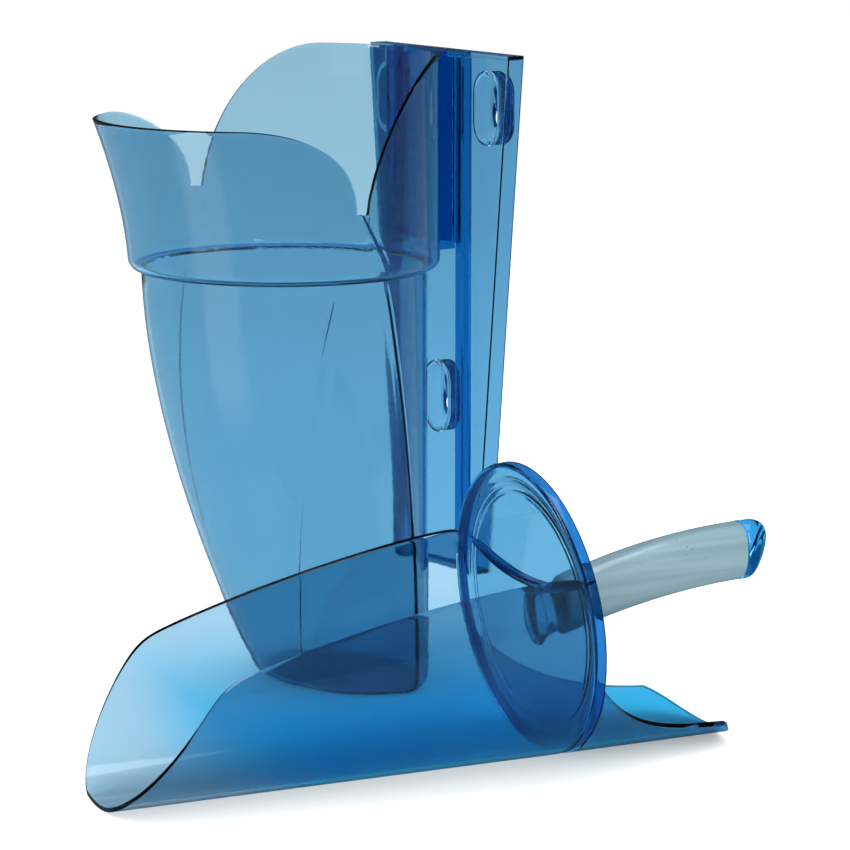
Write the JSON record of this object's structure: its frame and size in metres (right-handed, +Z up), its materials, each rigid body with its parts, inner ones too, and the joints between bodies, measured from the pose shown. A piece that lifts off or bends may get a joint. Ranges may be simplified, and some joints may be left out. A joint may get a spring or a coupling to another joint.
{
  "type": "bulk scoop with wall holder",
  "caption": "Clear blue moulded scoop with a round hand shield and soft grip, lying by its tulip-shaped holder cup, which slides onto a tapered wall bracket with keyholes.",
  "frame": {"origin": "on the floor, in the middle of the cup's foot", "axes": "+Z up, +Y towards the wall that the bracket hangs on, +X towards the side where the scoop lies"},
  "size_m": [0.4105, 0.4374, 0.407],
  "materials": {
    "blue_polycarbonate": "clear tinted, glossy",
    "blue_core": "glossy",
    "grip": "satin, faint sparkle"
  },
  "bodies": {
    "bracket": {"bracket_plate": "blue_polycarbonate", "bracket_rail_left": "blue_polycarbonate", "bracket_rail_right": "blue_polycarbonate", "keyhole_pocket_left": "blue_polycarbonate", "keyhole_pocket_right": "blue_polycarbonate", "keyhole_pocket_lower": "blue_polycarbonate"},
    "cup": {"cup_body": "blue_polycarbonate", "cup_collar": "blue_polycarbonate", "cup_slide": "blue_polycarbonate"},
    "scoop": {"scoop_trough": "blue_polycarbonate", "scoop_shield": "blue_polycarbonate", "scoop_guard": "blue_polycarbonate", "handle_core": "blue_core", "grip_sleeve": "grip"}
  },
  "joints": [
    {"name": "cup_lift", "type": "slide", "parent": "bracket", "child": "cup", "axis": [0, 0, 1], "range_m": [0, 0.126]},
    {"name": "scoop_lift", "type": "slide", "parent": "bracket", "child": "scoop", "axis": [0, 0, 1], "range_m": [0, 0.25]}
  ]
}
